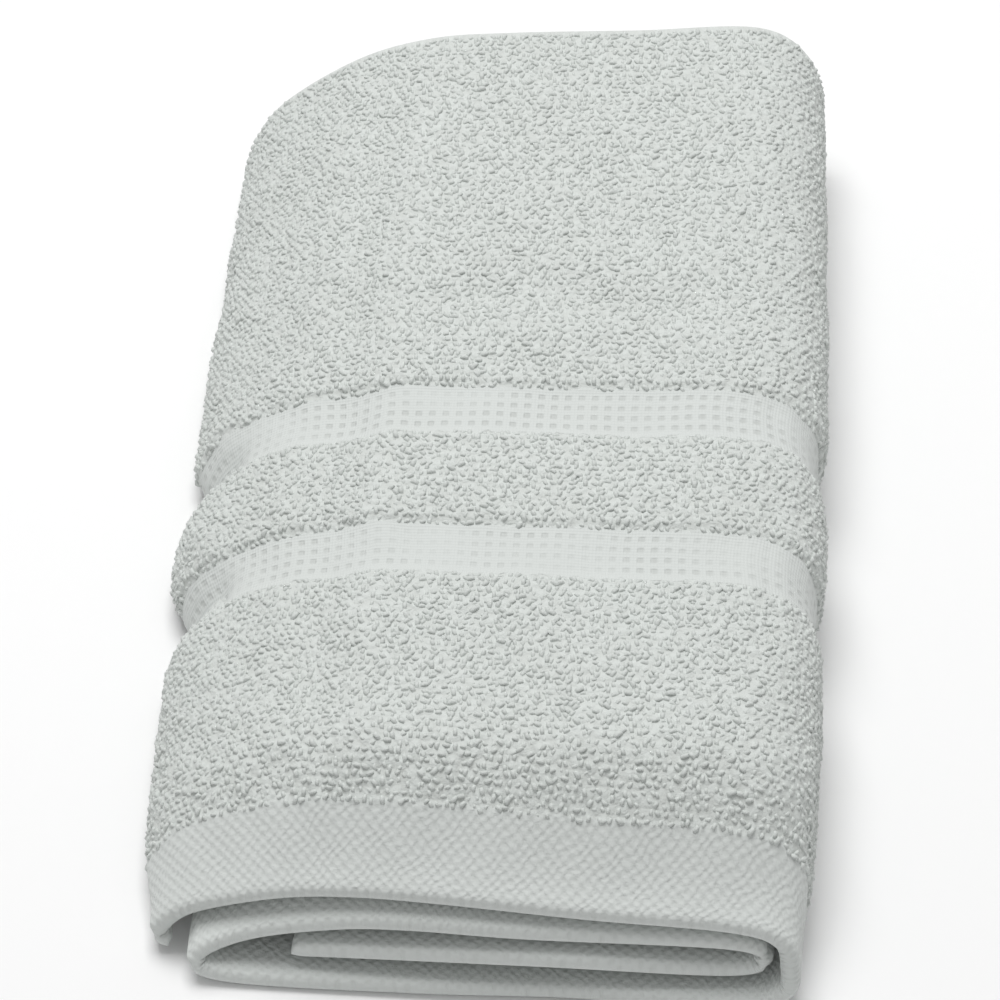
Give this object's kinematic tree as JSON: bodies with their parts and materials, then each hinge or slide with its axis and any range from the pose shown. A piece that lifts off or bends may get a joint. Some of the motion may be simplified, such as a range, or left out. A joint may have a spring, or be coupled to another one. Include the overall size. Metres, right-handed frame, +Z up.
{
  "type": "folded washcloth",
  "caption": "Folded terry washcloth with flat woven bands and a turned hem, lying flat in a compact pad.",
  "frame": {"origin": "middle of the underside of the folded pad", "axes": "+Z up, +Y from the hems towards the crosswise fold, +X from the flap towards the wide wrap"},
  "size_m": [0.0896, 0.1646, 0.0258],
  "materials": {
    "terry_cotton": "matte"
  },
  "bodies": {
    "root": {"washcloth": "terry_cotton"}
  },
  "joints": []
}
